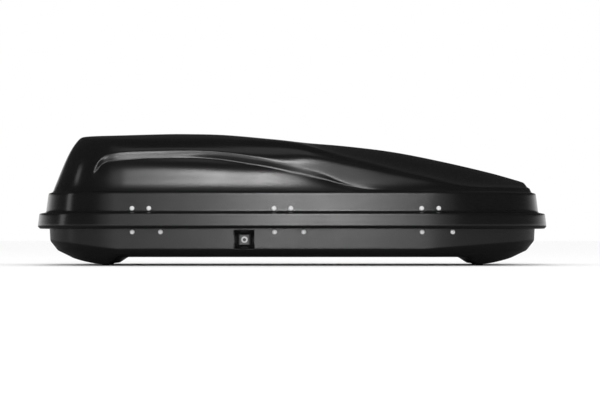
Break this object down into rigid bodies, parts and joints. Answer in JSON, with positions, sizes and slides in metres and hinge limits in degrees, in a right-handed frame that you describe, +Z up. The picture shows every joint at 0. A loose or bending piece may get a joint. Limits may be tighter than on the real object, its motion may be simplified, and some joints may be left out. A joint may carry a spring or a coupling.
{
  "type": "roof box",
  "caption": "Hard car roof box with a tapered nose, a side-opening hinged lid, central locking bar, key lock and lid stays.",
  "frame": {"origin": "middle of the footprint, on the surface the box stands on", "axes": "+X towards the pointed nose, -Y towards the lock side, +Z up"},
  "size_m": [1.79, 0.78, 0.4609],
  "materials": {
    "black_plastic": "satin black formed plastic sheet",
    "grey_plastic": "satin dark grey moulding",
    "rivet_metal": "bright domed rivet",
    "chrome": "polished",
    "zinc_steel": "zinc plated",
    "black_steel": "black e-coated"
  },
  "bodies": {
    "base": {"base_shell": "black_plastic", "floor_rail_hinge_side": "zinc_steel", "floor_rail_lock_side": "zinc_steel", "hinge_base_leaf_1": "black_steel", "hinge_base_leaf_2": "black_steel", "hinge_base_leaf_3": "black_steel", "hinge_base_rivet_1a": "rivet_metal", "hinge_base_rivet_1b": "rivet_metal", "hinge_base_rivet_2a": "rivet_metal", "hinge_base_rivet_2b": "rivet_metal", "hinge_base_rivet_3a": "rivet_metal", "hinge_base_rivet_3b": "rivet_metal", "hinge_pin_1": "zinc_steel", "hinge_pin_2": "zinc_steel", "hinge_pin_3": "zinc_steel", "latch_bracket_1": "black_steel", "latch_bracket_2": "black_steel", "latch_bracket_3": "black_steel", "latch_rivet_1a": "rivet_metal", "latch_rivet_1b": "rivet_metal", "latch_rivet_2a": "rivet_metal", "latch_rivet_2b": "rivet_metal", "latch_rivet_3a": "rivet_metal", "latch_rivet_3b": "rivet_metal", "lock_barrel": "chrome", "lock_nut": "zinc_steel", "lock_plate": "grey_plastic", "stay_bracket_1": "black_steel", "stay_bracket_2": "black_steel"},
    "lid": {"hinge_lid_leaf_1": "black_steel", "hinge_lid_leaf_2": "black_steel", "hinge_lid_leaf_3": "black_steel", "hinge_lid_rivet_1a": "rivet_metal", "hinge_lid_rivet_1b": "rivet_metal", "hinge_lid_rivet_2a": "rivet_metal", "hinge_lid_rivet_2b": "rivet_metal", "hinge_lid_rivet_3a": "rivet_metal", "hinge_lid_rivet_3b": "rivet_metal", "lid_shell": "black_plastic", "stay_guide_1": "black_steel", "stay_guide_2": "black_steel", "striker_1": "black_steel", "striker_2": "black_steel", "striker_3": "black_steel", "striker_rivet_1a": "rivet_metal", "striker_rivet_1b": "rivet_metal", "striker_rivet_2a": "rivet_metal", "striker_rivet_2b": "rivet_metal", "striker_rivet_3a": "rivet_metal", "striker_rivet_3b": "rivet_metal"},
    "lock_bar": {"bar_tab": "zinc_steel", "lock_bar": "zinc_steel", "lock_hook_1": "zinc_steel", "lock_hook_2": "zinc_steel", "lock_hook_3": "zinc_steel"},
    "key_plug": {"lock_cam": "black_steel", "lock_plug": "chrome"},
    "rear_stay": {"stay_arm_1": "zinc_steel"},
    "front_stay": {"stay_arm_2": "zinc_steel"}
  },
  "joints": [
    {"name": "lid_hinge", "type": "hinge", "parent": "base", "child": "lid", "pos_m": [0, 0.372, 0.158], "axis": [-1, 0, 0], "range_deg": [0, 50]},
    {"name": "bar_slide", "type": "slide", "parent": "base", "child": "lock_bar", "axis": [1, 0, 0], "range_m": [0, 0.015]},
    {"name": "key_turn", "type": "hinge", "parent": "base", "child": "key_plug", "pos_m": [-0.163, -0.338, 0.0885], "axis": [0, 1, 0], "range_deg": [0, 90]},
    {"name": "rear_stay_swing", "type": "hinge", "parent": "base", "child": "rear_stay", "pos_m": [-0.585, 0.3, 0.085], "axis": [-1, 0, 0], "range_deg": [0, 75]},
    {"name": "front_stay_swing", "type": "hinge", "parent": "base", "child": "front_stay", "pos_m": [0.505, 0.3, 0.085], "axis": [-1, 0, 0], "range_deg": [0, 75]}
  ],
  "couplings": [
    {"joint": "key_turn", "follows": "bar_slide", "rad_per_m": 104.72},
    {"joint": "rear_stay_swing", "follows": "lid_hinge", "ratio": 1.5},
    {"joint": "front_stay_swing", "follows": "lid_hinge", "ratio": 1.5}
  ]
}
